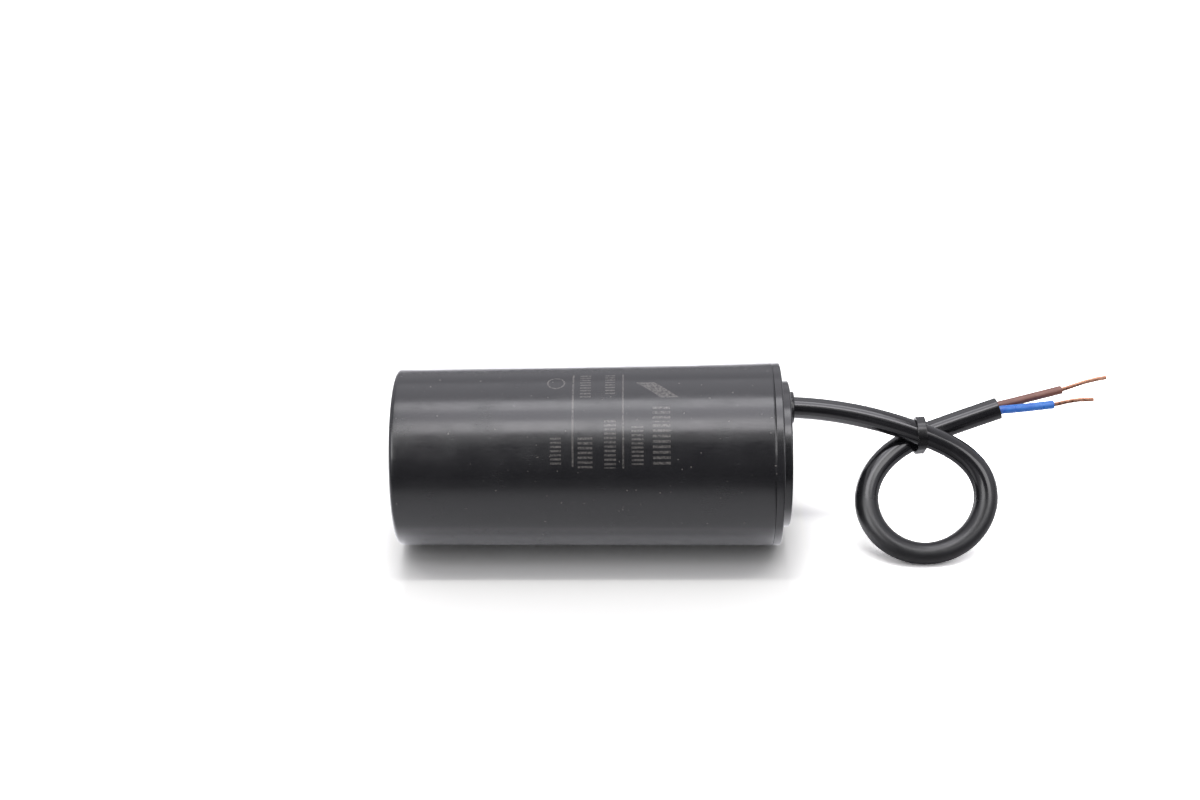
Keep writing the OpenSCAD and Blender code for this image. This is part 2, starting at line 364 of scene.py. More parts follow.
def lathe(
    name: str, outline: list[tuple[float, float]], axis_z: float, steps: int
) -> bmesh.types.BMesh:
    """Turns a closed half section about the case's axis, which lies along X.

    Args:
        name: Named in the log.
        outline: Station along X and radius of each corner, going once round the section.
        axis_z: Height of the axis.
        steps: The number of steps in the full turn.

    Returns:
        The turned mesh, closed and facing outwards.
    """
    bm = bmesh.new()
    verts = [bm.verts.new((x, 0, axis_z + r)) for x, r in outline]
    edges = [bm.edges.new(pair) for pair in pairwise(verts)]
    if min(outline[0][1], outline[-1][1]) > 0:
        edges.append(bm.edges.new((verts[-1], verts[0])))
    bmesh.ops.spin(
        bm,
        geom=verts + edges,
        cent=(0, 0, axis_z),
        axis=(1, 0, 0),
        angle=math.tau,
        steps=steps,
        use_merge=True,
    )
    bmesh.ops.remove_doubles(bm, verts=bm.verts, dist=SAME_SPOT)
    bmesh.ops.recalc_face_normals(bm, faces=bm.faces)
    log.info("%s turned with %d faces", name, len(bm.faces))
    return bm


def soften_rings(
    bm: bmesh.types.BMesh,
    axis_z: float,
    corners: list[tuple[float, float]],
    width: float,
    segments: int,
) -> None:
    """Rounds a turned piece's corners.

    Args:
        bm: The turned mesh.
        axis_z: Height of its axis.
        corners: Station along X and radius of each corner to round.
        width: How far the rounding reaches from the corner.
        segments: The number of steps in the rounding.
    """
    near = 0.02 * MM
    chosen = []
    for edge in bm.edges:
        spots = [(v.co.x, math.hypot(v.co.y, v.co.z - axis_z)) for v in edge.verts]
        for x, r in corners:
            if all(abs(sx - x) < near and abs(sr - r) < near for sx, sr in spots):
                chosen.append(edge)
    bmesh.ops.bevel(
        bm,
        geom=chosen,
        offset=width,
        offset_type="OFFSET",
        affect="EDGES",
        segments=segments,
        profile=0.5,
        material=-1,
        clamp_overlap=True,
    )


# ---- Finishes ----------------------------------------------------------------


@dataclass(frozen=True)
class Surface:
    """A material while it is made: its nodes, its shader and the place on the piece."""

    tree: bpy.types.NodeTree
    shader: bpy.types.Node
    place: bpy.types.NodeSocket

    def feed(self, name: str, value: bpy.types.NodeSocket) -> None:
        """Lets a value drive one of the shader's inputs."""
        self.tree.links.new(value, self.shader.inputs[name])

    def uneven(
        self,
        grain_mm: float,
        low: float,
        high: float,
        detail: float = 3.0,
        place: bpy.types.NodeSocket | None = None,
    ) -> bpy.types.NodeSocket:
        """Makes a soft noise that runs between two values.

        Args:
            grain_mm: The real size of one patch.
            low: The lowest value.
            high: The highest value.
            detail: How many finer layers the noise has.
            place: Where it is read, if not at the place on the piece.

        Returns:
            The value's socket.
        """
        noise = add_node(
            self.tree,
            "ShaderNodeTexNoise",
            {
                "Vector": self.place if place is None else place,
                "Scale": 1 / (grain_mm * MM),
                "Detail": detail,
                "Roughness": 0.55,
            },
        )
        # Such noise keeps almost wholly between 0.3 and 0.7.
        spread = Ramp(0.3, 0.7, low, high).along(noise.outputs["Fac"])
        return add_node(self.tree, "ShaderNodeMapRange", spread).outputs["Result"]

    def raise_by(
        self, height: bpy.types.NodeSocket, depth_um: float, strength: float = 1.0
    ) -> None:
        """Lets a height between 0 and 1 tilt the surface.

        Args:
            height: The height.
            depth_um: What a height of 1 stands for, in micrometres.
            strength: How much of it shows.
        """
        bump = add_node(
            self.tree,
            "ShaderNodeBump",
            {"Height": height, "Strength": strength, "Distance": depth_um * UM},
        )
        self.feed("Normal", bump.outputs["Normal"])

    def shade_between(self, share: bpy.types.NodeSocket, first: str, second: str) -> None:
        """Runs the colour from one shade to another.

        Args:
            share: 0 for the first shade and 1 for the second.
            first: The first shade, in hex.
            second: The second shade, in hex.
        """
        ends = {0: share, 6: linear(first), 7: linear(second)}
        mixed = add_node(self.tree, "ShaderNodeMix", ends, data_type="RGBA")
        self.feed("Base Color", mixed.outputs[2])


@dataclass(frozen=True)
class Finish:
    """A surface finish, with what all finishes share."""

    slot: str
    colour: str
    roughness: float
    ior: float = 1.5
    metallic: float = 0.0

    def material(self) -> bpy.types.Material:
        """Builds the material.

        Returns:
            A node material named after its slot.
        """
        material = bpy.data.materials.new(self.slot)
        material.use_nodes = True
        tree = material.node_tree
        tree.nodes.clear()
        shader = add_node(
            tree,
            "ShaderNodeBsdfPrincipled",
            {
                "Base Color": linear(self.colour),
                "Roughness": self.roughness,
                "IOR": self.ior,
                "Metallic": self.metallic,
            },
        )
        add_node(tree, "ShaderNodeOutputMaterial", {"Surface": shader.outputs["BSDF"]})
        place = add_node(tree, "ShaderNodeTexCoord").outputs["Object"]
        self.detail(Surface(tree, shader, place))
        return material

    def detail(self, surface: Surface) -> None:
        """Adds the finish's own pattern. The plain finish has none."""


@dataclass(frozen=True)
class InkBlock:
    """A field of ink on the case, in millimetres along X and round the case.

    It is `wide` about its middle `along` X, and runs from `first` to `last` round the case, from
    the front upwards. A field with a pitch is broken up into plain ticks, a slanted one slides
    along X by its slant for each millimetre round the case, and a ring is a circle of one line.
    """

    along: float
    wide: float
    first: float
    last: float
    pitch: float = 0.0
    line: float = 0.0
    slant: float = 0.0
    ring: bool = False

    @property
    def middle(self) -> float:
        """The field's middle round the case."""
        return (self.first + self.last) / 2

    @property
    def reach(self) -> float:
        """How far the field runs from its middle round the case."""
        return (self.last - self.first) / 2


@dataclass(frozen=True)
class MouldedPlastic(Finish):
    """Injection moulded ABS. Its mould was polished, which leaves a satin gloss, a soft
    unevenness that makes long reflections waver, and fine rubbing marks along the case."""

    ripple_mm: float = 5.0
    ripple_um: float = 1.5
    haze: float = 0.05
    haze_mm: float = 9.0
    rub_mm: float = 0.35
    rub_squash: float = 0.12
    rub_gloss: tuple[float, float] = (-0.02, 0.05)
    grain_mm: float = 0.5
    grain_share: float = 0.08

    def detail(self, surface: Surface) -> None:
        """Adds the mould's unevenness, a change of gloss and rubbing marks.

        Args:
            surface: The surface that takes them.
        """
        tree = surface.tree
        low, high = self.roughness - self.haze, self.roughness + self.haze
        gloss = surface.uneven(self.haze_mm, low, high)
        drawn_out = {"Vector": surface.place, "Scale": (self.rub_squash, 1.0, 1.0)}
        rubbed = add_node(tree, "ShaderNodeMapping", drawn_out).outputs["Vector"]
        marks = surface.uneven(self.rub_mm, *self.rub_gloss, detail=6.0, place=rubbed)
        both = add_node(
            tree, "ShaderNodeMath", {0: gloss, 1: marks}, operation="ADD", use_clamp=True
        )
        surface.feed("Roughness", both.outputs[0])
        ripple = surface.uneven(self.ripple_mm, 0.0, 1.0, detail=1.0)
        fine = surface.uneven(self.grain_mm, 0.0, self.grain_share, detail=2.0)
        height = add_node(tree, "ShaderNodeMath", {0: ripple, 1: fine}, operation="ADD")
        surface.raise_by(height.outputs[0], self.ripple_um)


@dataclass(frozen=True)
class PrintedPlastic(MouldedPlastic):
    """The case's plastic with pale ink on it, in plain fields. Pad printed ink is matt,
    thin and worn, so the black shows through it, and pale dust lies about."""

    ink: str = "8a8681"
    axis_z: float = 0.0
    blocks: tuple[InkBlock, ...] = ()
    ink_share: float = 0.4
    tick_share: float = 0.48
    wear_mm: float = 0.5
    dust_mm: float = 0.7
    dust: Ramp = Ramp(0.83, 0.87, 0.0, 0.4)

    def detail(self, surface: Surface) -> None:
        """Adds the fields of ink and the dust over the moulded surface.

        Args:
            surface: The surface that takes them.
        """
        super().detail(surface)
        tree = surface.tree
        along, arc = self.unrolled(surface)
        covered = self.block_cover(tree, self.blocks[0], along, arc)
        for block in self.blocks[1:]:
            inked = {0: covered, 1: self.block_cover(tree, block, along, arc)}
            covered = add_node(tree, "ShaderNodeMath", inked, operation="MAXIMUM").outputs[0]
        worn = {0: covered, 1: surface.uneven(self.wear_mm, 0.1, 1.1, detail=5.0)}
        left = add_node(tree, "ShaderNodeMath", worn, operation="MULTIPLY", use_clamp=True)
        thin = {0: left.outputs[0], 1: self.ink_share}
        share = add_node(tree, "ShaderNodeMath", thin, operation="MULTIPLY")
        specks = add_node(
            tree,
            "ShaderNodeTexNoise",
            {"Vector": surface.place, "Scale": 1 / (self.dust_mm * MM), "Detail": 0.0},
        )
        dusty = add_node(tree, "ShaderNodeMapRange", self.dust.along(specks.outputs["Fac"]))
        pale = {0: share.outputs[0], 1: dusty.outputs["Result"]}
        palest = add_node(tree, "ShaderNodeMath", pale, operation="MAXIMUM")
        surface.shade_between(palest.outputs[0], self.colour, self.ink)

    def unrolled(self, surface: Surface) -> tuple[bpy.types.NodeSocket, bpy.types.NodeSocket]:
        """Unrolls the case's surface, so that a field of ink lies flat on it.

        Args:
            surface: The surface that is read.

        Returns:
            The place along X and the place round the case from the front upwards, in millimetres.
        """
        tree = surface.tree
        spot = add_node(tree, "ShaderNodeSeparateXYZ", {"Vector": surface.place}).outputs
        height = add_node(
            tree, "ShaderNodeMath", {0: spot["Z"], 1: self.axis_z}, operation="SUBTRACT"
        )
        front = add_node(tree, "ShaderNodeMath", {0: spot["Y"], 1: -1.0}, operation="MULTIPLY")
        legs = {0: front.outputs[0], 1: height.outputs[0]}
        turn = add_node(tree, "ShaderNodeMath", legs, operation="ARCTAN2")
        round_case = {0: turn.outputs[0], 1: self.axis_z / MM}
        arc = add_node(tree, "ShaderNodeMath", round_case, operation="MULTIPLY")
        along = add_node(tree, "ShaderNodeMath", {0: spot["X"], 1: 1 / MM}, operation="MULTIPLY")
        return along.outputs[0], arc.outputs[0]

    def block_cover(
        self,
        tree: bpy.types.NodeTree,
        block: InkBlock,
        along: bpy.types.NodeSocket,
        arc: bpy.types.NodeSocket,
    ) -> bpy.types.NodeSocket:
        """Works out where one field of ink lies.

        Args:
            tree: The material's nodes.
            block: The field.
            along: The place along X, in millimetres.
            arc: The place round the case, in millimetres.

        Returns:
            1 inside the field and 0 outside it.
        """
        if block.ring:
            spot = add_node(tree, "ShaderNodeCombineXYZ", {"X": along, "Y": arc}).outputs[0]
            away = add_node(
                tree,
                "ShaderNodeVectorMath",
                {0: spot, 1: (block.along, block.middle, 0)},
                operation="DISTANCE",
            )
            circle = (away.outputs["Value"], (block.wide - block.line) / 2, block.line / 2)
            return self.within_all(tree, [circle])
        if block.slant:
            slide = {0: arc, 1: block.slant, 2: -block.slant * block.middle}
            slid = add_node(tree, "ShaderNodeMath", slide, operation="MULTIPLY_ADD").outputs[0]
            moved = add_node(tree, "ShaderNodeMath", {0: along, 1: slid}, operation="ADD")
            along = moved.outputs[0]
        spans = [(along, block.along, block.wide / 2), (arc, block.middle, block.reach)]
        if block.pitch:
            count = {0: arc, 1: 1 / block.pitch, 2: -block.first / block.pitch}
            turns = add_node(tree, "ShaderNodeMath", count, operation="MULTIPLY_ADD").outputs[0]
            step = add_node(tree, "ShaderNodeMath", {0: turns}, operation="FRACT").outputs[0]
            spans.append((step, self.tick_share / 2, self.tick_share / 2))
        return self.within_all(tree, spans)

    def within_all(
        self,
        tree: bpy.types.NodeTree,
        spans: list[tuple[bpy.types.NodeSocket, float, float]],
    ) -> bpy.types.NodeSocket:
        """Works out where each of some values lies within its own span.

        Args:
            tree: The material's nodes.
            spans: For each value, its socket, its span's middle and how far the span reaches.

        Returns:
            1 where they all do and 0 elsewhere.
        """
        inside = None
        for value, middle, reach in spans:
            test = {0: value, 1: middle, 2: reach}
            hit = add_node(tree, "ShaderNodeMath", test, operation="COMPARE").outputs[0]
            if inside is not None:
                pair = {0: inside, 1: hit}
                hit = add_node(tree, "ShaderNodeMath", pair, operation="MULTIPLY").outputs[0]
            inside = hit
        return inside


@dataclass(frozen=True)
class SoftPvc(Finish):
    """Extruded plasticised PVC. It leaves the die smooth and satin, with faint lumps from
    what it covers and a little dust that dulls it in patches. Below `bend_z` it lies in the
    loop, where its stretched skin is duller."""

    patch_mm: float = 2.5
    lump_mm: float = 2.2
    lump_um: float = 6.0
    dulled: float = 0.0
    bend_z: float = 0.02
    bend_depth: float = 6.0 * MM

    def detail(self, surface: Surface) -> None:
        """Adds faint lumps and a change of gloss.

        Args:
            surface: The surface that takes them.
        """
        tree = surface.tree
        patchy = surface.uneven(self.patch_mm, self.roughness - 0.04, self.roughness + 0.05)
        height = add_node(tree, "ShaderNodeSeparateXYZ", {"Vector": surface.place}).outputs["Z"]
        into_loop = Ramp(self.bend_z, self.bend_z - self.bend_depth, 0.0, self.dulled)
        bent = add_node(tree, "ShaderNodeMapRange", into_loop.along(height)).outputs["Result"]
        gloss = add_node(tree, "ShaderNodeMath", {0: patchy, 1: bent}, operation="ADD")
        surface.feed("Roughness", gloss.outputs[0])
        surface.raise_by(surface.uneven(self.lump_mm, 0.0, 1.0, detail=2.0), self.lump_um)


@dataclass(frozen=True)
class MouldedNylon(SoftPvc):
    """Injection moulded nylon. It is harder than the sheath and leaves its mould satin and
    flatter, so its highlights are small and broken only by its edges."""

    lump_um: float = 3.0


@dataclass(frozen=True)
class CoreInsulation(Finish):
    """Coloured PVC on a core. It is a little translucent, and paler where it was
    pulled and creased in stripping."""

    pale: str = "ffffff"
    crease_mm: float = 3.0
    patch_mm: float = 1.2
    grain_mm: float = 0.6
    grain_um: float = 4.0
    glow: float = 0.08
    glow_depth: float = 0.3 * MM

    def detail(self, surface: Surface) -> None:
        """Adds patches of the paler colour and fine unevenness.

        Args:
            surface: The surface that takes them.
        """
        creased = surface.uneven(self.crease_mm, 0.0, 0.6)
        surface.shade_between(creased, self.colour, self.pale)
        surface.shader.inputs["Subsurface Weight"].default_value = self.glow
        surface.shader.inputs["Subsurface Scale"].default_value = self.glow_depth
        gloss = surface.uneven(self.patch_mm, self.roughness - 0.05, self.roughness + 0.08)
        surface.feed("Roughness", gloss)
        surface.raise_by(surface.uneven(self.grain_mm, 0.0, 1.0), self.grain_um)


@dataclass(frozen=True)
class BareCopper(Finish):
    """Annealed copper strands. They shine along their length, with darker tarnish in patches."""

    tarnish: str = "7a3f24"
    tarnish_mm: float = 0.9
    patch_mm: float = 0.7

    def detail(self, surface: Surface) -> None:
        """Adds tarnish and a change of gloss.

        Args:
            surface: The surface that takes them.
        """
        tarnished = surface.uneven(self.tarnish_mm, 0.0, 0.7)
        surface.shade_between(tarnished, self.colour, self.tarnish)
        gloss = surface.uneven(self.patch_mm, self.roughness - 0.08, self.roughness + 0.12)
        surface.feed("Roughness", gloss)


@dataclass(frozen=True)
class CastOrSprayed(Finish):
    """A rough surface of two shades with grain, such as sprayed zinc, solder or cast resin."""

    other: str = "000000"
    grain_mm: float = 0.4
    grain_um: float = 30.0

    def detail(self, surface: Surface) -> None:
        """Adds the two shades and the grain.

        Args:
            surface: The surface that takes them.
        """
        patches = surface.uneven(3 * self.grain_mm, 0.0, 1.0)
        surface.shade_between(patches, self.colour, self.other)
        surface.raise_by(surface.uneven(self.grain_mm, 0.0, 1.0), self.grain_um)


@dataclass(frozen=True)
class WoundFilm(Finish):
    """Metallised film wound on itself. Its turns show as fine rings on the ends and as a
    silvery sheen with faint bands on the side. The turns are drawn 0.25 mm apart, far
    coarser than the film, so that they show."""

    other: str = "000000"
    turn_mm: float = 0.25
    axis_z: float = 0.0

    def detail(self, surface: Surface) -> None:
        """Adds the rings of the winding.

        Args:
            surface: The surface that takes them.
        """
        tree = surface.tree
        middle = {"Vector": surface.place, "Location": (0, 0, -self.axis_z)}
        centred = add_node(tree, "ShaderNodeMapping", middle).outputs["Vector"]
        scale = math.pi / (20 * self.turn_mm * MM)
        rings = add_node(
            tree,
            "ShaderNodeTexWave",
            {"Vector": centred, "Scale": scale, "Distortion": 0.6},
            wave_type="RINGS",
            rings_direction="X",
        ).outputs["Fac"]
        surface.shade_between(rings, self.colour, self.other)
        surface.raise_by(rings, 20.0, strength=0.6)


# ---- The case ----------------------------------------------------------------


@dataclass
class CaseShell:
    """The moulded case: a deep cup with draft, its closed end to the left."""

    base_radius: float = 21.8 * MM
    wall: float = 1.6 * MM
    base: float = 2.0 * MM
    edge_radius: float = 1.2 * MM
    mouth_edge: float = 0.16 * MM
    steps: int = 192
    low: Vector = field(init=False)
    high: Vector = field(init=False)

    def __post_init__(self) -> None:
        """Reads the case's place from the frame."""
        self.low, self.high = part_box("case")

    @property
    def radius(self) -> float:
        """Outer radius at the mouth."""
        return (self.high.z - self.low.z) / 2

    @property
    def axis_z(self) -> float:
        """Height of the case's axis above the floor."""
        return (self.high.z + self.low.z) / 2

    def outer(self, x: float) -> float:
        """Outer radius at a station along X."""
        share = (x - self.low.x) / (self.high.x - self.low.x)
        return self.base_radius + (self.radius - self.base_radius) * share

    def build(self, materials: Materials) -> bpy.types.Object:
        """Builds and dresses the cup.

        Args:
            materials: Every material by its slot.

        Returns:
            The case.
        """
        left, right = self.low.x, self.high.x
        floor_x = left + self.base
        # A ring beside each rounded edge keeps the long wall true up to it.
        near_base, near_mouth = left + 2 * self.edge_radius, right - 4 * self.mouth_edge
        outline = [
            (left, 0.0),
            (left, self.base_radius),
            (near_base, self.outer(near_base)),
            (near_mouth, self.outer(near_mouth)),
            (right, self.radius),
            (right, self.radius - self.wall),
            (floor_x, self.outer(floor_x) - self.wall),
            (floor_x, 0.0),
        ]
        bm = lathe("case", outline, self.axis_z, self.steps)
        soften_rings(bm, self.axis_z, [outline[1]], self.edge_radius, segments=6)
        soften_rings(bm, self.axis_z, [outline[4], outline[5]], self.mouth_edge, segments=2)
        soften_rings(bm, self.axis_z, [outline[6]], self.edge_radius, segments=3)
        case = to_object("case_shell", bm)
        keep_faces_true(case)
        return fit(case, materials, "case_plastic", "case")


@dataclass
class CoverAssembly:
    """The cover: flange, raised disc, spigot and the collar that the lead comes through."""

    shell: CaseShell
    flange: float = 2.0 * MM
    disc_radius: float = 18.0 * MM
    disc_height: float = 2.2 * MM
    wall: float = 1.6 * MM
    spigot_wall: float = 1.5 * MM
    spigot_fit: float = 0.05 * MM
    edge: float = 0.4 * MM
    fillet: float = 0.35 * MM
    collar_radius: float = 4.0 * MM
    hole_radius: float = 2.75 * MM
    lead_back: float = 9.0 * MM
    lead_up: float = 8.0 * MM
    steps: int = 192
    collar_sides: int = 96
    low: Vector = field(init=False)
    high: Vector = field(init=False)

    def __post_init__(self) -> None:
        """Reads the cover's place from the frame."""
        self.low, self.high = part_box("end_cover")

    @property
    def exit_point(self) -> Vector:
        """Where the lead leaves the collar."""
        return Vector((self.high.x, self.lead_back, self.shell.axis_z + self.lead_up))

    def build(self, materials: Materials) -> bpy.types.Object:
        """Builds and dresses the cover, with the lead's hole cut through it.

        Args:
            materials: Every material by its slot.

        Returns:
            The cover.
        """
        axis_z = self.shell.axis_z
        seat = self.shell.high.x
        flange_top = seat + self.flange
        disc_top = flange_top + self.disc_height
        inner = self.shell.radius - self.shell.wall - self.spigot_fit
        tip = self.shell.outer(self.low.x) - self.shell.wall - self.spigot_fit
        outline = [
            (disc_top, 0.0),
            (disc_top, self.disc_radius),
            (flange_top, self.disc_radius),
            (flange_top, self.shell.radius),
            (seat, self.shell.radius),
            (seat, inner),
            (self.low.x, tip),
            (self.low.x, tip - self.spigot_wall),
            (seat, tip - self.spigot_wall),
            (seat, self.disc_radius - self.wall),
            (disc_top - self.wall, self.disc_radius - self.wall),
            (disc_top - self.wall, 0.0),
        ]
        bm = lathe("cover", outline, axis_z, self.steps)
        soften_rings(bm, axis_z, [outline[1], outline[3]], self.edge, segments=4)
        soften_rings(bm, axis_z, [outline[2]], self.fillet, segments=3)
        soften_rings(bm, axis_z, [outline[4]], self.shell.mouth_edge, segments=2)
        cover = to_object("cover_moulding", bm)
        self.add_collar(cover, disc_top)
        keep_faces_true(cover)
        return fit(cover, materials, "cover_plastic", "end_cover")

    def add_collar(self, cover: bpy.types.Object, disc_top: float) -> None:
        """Joins the collar to the cover and drills the hole through both.

        Args:
            cover: The turned cover.
            disc_top: Station of the disc's face.
        """
        tip = self.exit_point.x
        collar = self.cylinder(
            "collar_form", disc_top - self.wall / 2, tip, self.collar_radius, self.edge
        )
        drill = self.cylinder(
            "drill_form", disc_top - 2 * self.wall, tip + self.wall, self.hole_radius, 0.0
        )
        for form, operation in ((collar, "UNION"), (drill, "DIFFERENCE")):
            cut = cover.modifiers.new(form.name, "BOOLEAN")
            cut.operation = operation
            cut.solver = "EXACT"
            cut.object = form
        bpy.context.view_layer.update()
        evaluated = cover.evaluated_get(bpy.context.evaluated_depsgraph_get())
        mesh = bpy.data.meshes.new_from_object(evaluated)
        cover.modifiers.clear()
        cover.data = mesh
        smooth(mesh)
        for form in (collar, drill):
            bpy.data.objects.remove(form)

    def cylinder(
        self, name: str, start: float, end: float, radius: float, edge: float
    ) -> bpy.types.Object:
        """Makes a short round form about the lead's exit, for the collar or its hole.

        Args:
            name: The form's name.
            start: Station of its first end.
            end: Station of its last end.
            radius: Its radius.
            edge: The rounding of its last end's rim, or 0.

        Returns:
            The form.
        """
        bm = bmesh.new()
        spot = Matrix.Translation(((start + end) / 2, self.exit_point.y, self.exit_point.z))
        bmesh.ops.create_cone(
            bm,
            cap_ends=True,
            segments=self.collar_sides,
            radius1=radius,
            radius2=radius,
            depth=end - start,
            matrix=spot @ Matrix.Rotation(math.pi / 2, 4, "Y"),
        )
        if edge:
            near = 0.01 * MM
            rim = [e for e in bm.edges if all(abs(v.co.x - end) < near for v in e.verts)]
            bmesh.ops.bevel(
                bm, geom=rim, offset=edge, affect="EDGES", segments=3, profile=0.5, material=-1
            )
        return to_object(name, bm)


@dataclass
class Inside:
    """What the sealed case holds. Its solids keep their own form and only take their finishes."""

    nodes: tuple[str, ...] = (
        "potting_resin",
        "film_winding",
        "winding_wrap",
        "core_tube",
        "far_zinc_layer",
        "near_zinc_layer",
        "far_solder_joint",
        "near_solder_joint",
    )
    near_zinc: float = field(init=False)
    far_zinc: float = field(init=False)

    def __post_init__(self) -> None:
        """Reads the stations of the zinc's outer faces, which the two wires are soldered to."""
        self.near_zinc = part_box("near_zinc_layer")[1].x
        self.far_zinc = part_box("far_zinc_layer")[0].x

    def finish(self, frame: dict, materials: Materials) -> None:
        """Dresses each solid as the record says.

        Args:
            frame: The loaded frame.
            materials: Every material by its slot.
        """
        slots = {part["node"]: part["material_slot"] for part in frame["record"]["subparts"]}
        for name in self.nodes:
            dress(frame["nodes"][name], materials[slots[name]])
            log.info("%s dressed as %s", name, slots[name])


# ---- The lead ----------------------------------------------------------------


class CoreColour(Enum):
    """Which of the two cores."""

    BROWN = "brown"
    BLUE = "blue"


@dataclass
class Lead:
    """The lead: a round sheath over two insulated cores, tied in one loop, its cores stripped."""

    exit_point: Vector
    sheath_d: float = 5.3 * MM
    core_d: float = 2.1 * MM
    core_pitch: float = 2.15 * MM
    copper_d: float = 1.0 * MM
    strand_d: float = 0.22 * MM
    inside: float = 14.0 * MM
    lean_deg: float = 48.0
    core_turn_deg: float = 45.0
    bend_swell: float = 0.105
    spacing: float = 0.7 * MM
    bare_spacing: float = 0.25 * MM
    strand_lay: float = 9.0 * MM
    strand_splay: float = 0.12
    inner_orbit: float = 0.2 * MM
    sheath_sides: int = 40
    core_sides: int = 24
    copper_sides: int = 12
    strand_sides: int = 6
    solder_height: float = 1.4 * MM
    strip: float = 2.0 * MM
    joint_drop: float = 9.0 * MM
    route_mm: tuple[tuple[float, float, float], ...] = (
        (0, 0, 0),
        (16, -2.4, -1.1),
        (33, -6.9, -4.8),
        (41.6, -9.7, -8.7),
        (45.5, -12.5, -12.8),
        (46.5, -15.7, -17.4),
        (43, -20.5, -23.8),
        (32.5, -23.9, -27.8),
        (22.9, -22.1, -25.9),
        (18, -17.1, -21.1),
        (18, -11.7, -16.3),
        (24, -5.1, -10.5),
        (37.9, -0.4, -5.5),
        (51, 1.4, -1.4),
    )
    brown_end_mm: tuple[tuple[float, float, float], ...] = (
        (67.2, 5.5, 1.5),
        (73.1, 6.8, 2.9),
        (78.6, 7.6, 3.8),
    )
    blue_end_mm: tuple[tuple[float, float, float], ...] = (
        (64.7, 1.6, -0.6),
        (69.5, 2.3, 0.1),
        (74.8, 2.5, 0.3),
    )
    route: list[Vector] = field(init=False)

    def __post_init__(self) -> None:
        """Works out the sheath's centre line."""
        points = [self.exit_point - Vector((self.inside, 0, 0))]
        points += [self.exit_point + Vector(p) * MM for p in self.route_mm]
        self.route = smooth_route(points, self.spacing)

    @property
    def length(self) -> float:
        """Length of the sheath's centre line."""
        return sum((b - a).length for a, b in pairwise(self.route))

    def ends_mm(self, colour: CoreColour) -> tuple[tuple[float, float, float], ...]:
        """Where a core's insulation ends and its strands run, from the exit, in millimetres."""
        return self.brown_end_mm if colour is CoreColour.BROWN else self.blue_end_mm

    def build(
        self, materials: Materials, inside: Inside, axis_z: float
    ) -> tuple[bpy.types.Object, list[bpy.types.Object]]:
        """Builds and dresses the sheath and the two cores.

        Args:
            materials: Every material by its slot.
            inside: What the cores run to.
            axis_z: Height of the case's axis.

        Returns:
            The sheath, and the pieces that go with it.
        """
        sheath = fit(self.build_sheath(), materials, "black_pvc", "cable_sheath")
        carried = []
        for colour, (covered, bare) in self.inner_routes(inside, axis_z).items():
            core = colour.value
            insulation = self.build_insulation(colour, covered)
            carried.append(fit(insulation, materials, f"{core}_pvc", f"{core}_insulation"))
            copper = self.build_copper(colour, bare)
            carried.append(fit(copper, materials, "copper", f"{core}_conductor"))
        return sheath, carried

    def build_sheath(self) -> bpy.types.Object:
        """Builds the sheath, with its cut end. It spreads a little where it runs across the loop.

        Returns:
            The sheath.
        """
        bm = bmesh.new()
        swollen = []
        for frame in frames_along(self.route):
            across = 1 - min(1.0, abs(frame.col[2].x)) ** 2
            size = 1 + self.bend_swell * math.sqrt(max(0.0, across))
            swollen.append(frame @ Matrix.Diagonal((size, size, 1, 1)))
        sweep(
            bm,
            swollen,
            self.sheath_d / 2,
            self.sheath_sides,
            start=(Lip(0.0, 0.85), Lip(-1 * MM, 0.83)),
            end=(Lip(0.12 * MM, 0.96), Lip(0.1 * MM, 0.84), Lip(-1.6 * MM, 0.80)),
        )
        return to_object("lead_sheath", bm)

    def core_offset(self, frame: Matrix, colour: CoreColour) -> Vector:
        """Where a core lies beside the sheath's centre line.

        Args:
            frame: The sheath's frame at that point.
            colour: Which core.

        Returns:
            The offset from the centre line.
        """
        heading = frame.col[2].to_3d()
        lean = math.radians(self.lean_deg)
        normal = Vector((0, -math.sin(lean), math.cos(lean)))
        normal = (normal - heading * normal.dot(heading)).normalized()
        side = heading.cross(normal)
        turn = math.radians(self.core_turn_deg)
        way = 1 if colour is CoreColour.BLUE else -1
        return way * self.core_pitch / 2 * (math.cos(turn) * side + math.sin(turn) * normal)

    def core_route(self, colour: CoreColour, from_start: bool) -> list[Vector]:
        """Makes a core's centre line, from inside the case to where its insulation ends.

        Args:
            colour: Which core.
            from_start: Whether to run the whole way or only past the sheath's end.

        Returns:
            Points along it.
        """
        frames = frames_along(self.route)
        tail = 6
        used = frames if from_start else frames[-tail:]
        run = [f.translation + self.core_offset(f, colour) for f in used]
        leave = run[-1]
        target = self.exit_point + Vector(self.ends_mm(colour)[0]) * MM
        # The core goes straight on for a moment before it turns towards its end.
        straight_on = frames[-1].col[2].to_3d() * 0.3 * MM
        onward = [leave.lerp(target, share) for share in (0.16, 0.4, 0.7)]
        onward[0] += straight_on
        extra = smooth_route([run[-2], leave, *onward, target], self.spacing)
        return run[:-1] + extra[1:]

    def copper_end(self, colour: CoreColour) -> list[Vector]:
        """Makes the bare strands' centre line, from inside the insulation to the tip.

        Args:
            colour: Which core.

        Returns:
            Points along it.
        """
        points = [self.exit_point + Vector(p) * MM for p in self.ends_mm(colour)]
        # The strands start a few points back, well inside the insulation.
        start = self.core_route(colour, from_start=False)[-5]
        return smooth_route([start, *points], self.bare_spacing)

